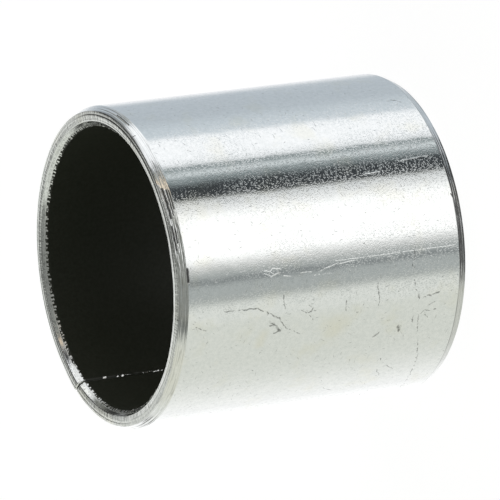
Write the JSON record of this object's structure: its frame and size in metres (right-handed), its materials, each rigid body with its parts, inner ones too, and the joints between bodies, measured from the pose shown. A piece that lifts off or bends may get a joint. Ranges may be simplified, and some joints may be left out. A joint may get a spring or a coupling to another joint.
{
  "type": "bushing",
  "caption": "Plain sliding bushing rolled from steel strip with a black dry liner in the bore, chamfered ends and a straight butt seam, for a turning or sliding shaft.",
  "frame": {"origin": "centre of the lower end, on the tube's axis, at the surface that the bushing stands on", "axes": "+Z along the tube's axis, up; +Y towards the butt seam"},
  "size_m": [0.0254, 0.0254, 0.0252],
  "materials": {
    "plated_steel": "bright plating with a fine satin grain and light handling scratches",
    "black_liner": "smooth matte black"
  },
  "bodies": {
    "root": {"steel_backing": "plated_steel", "sliding_liner": "black_liner"}
  },
  "joints": []
}
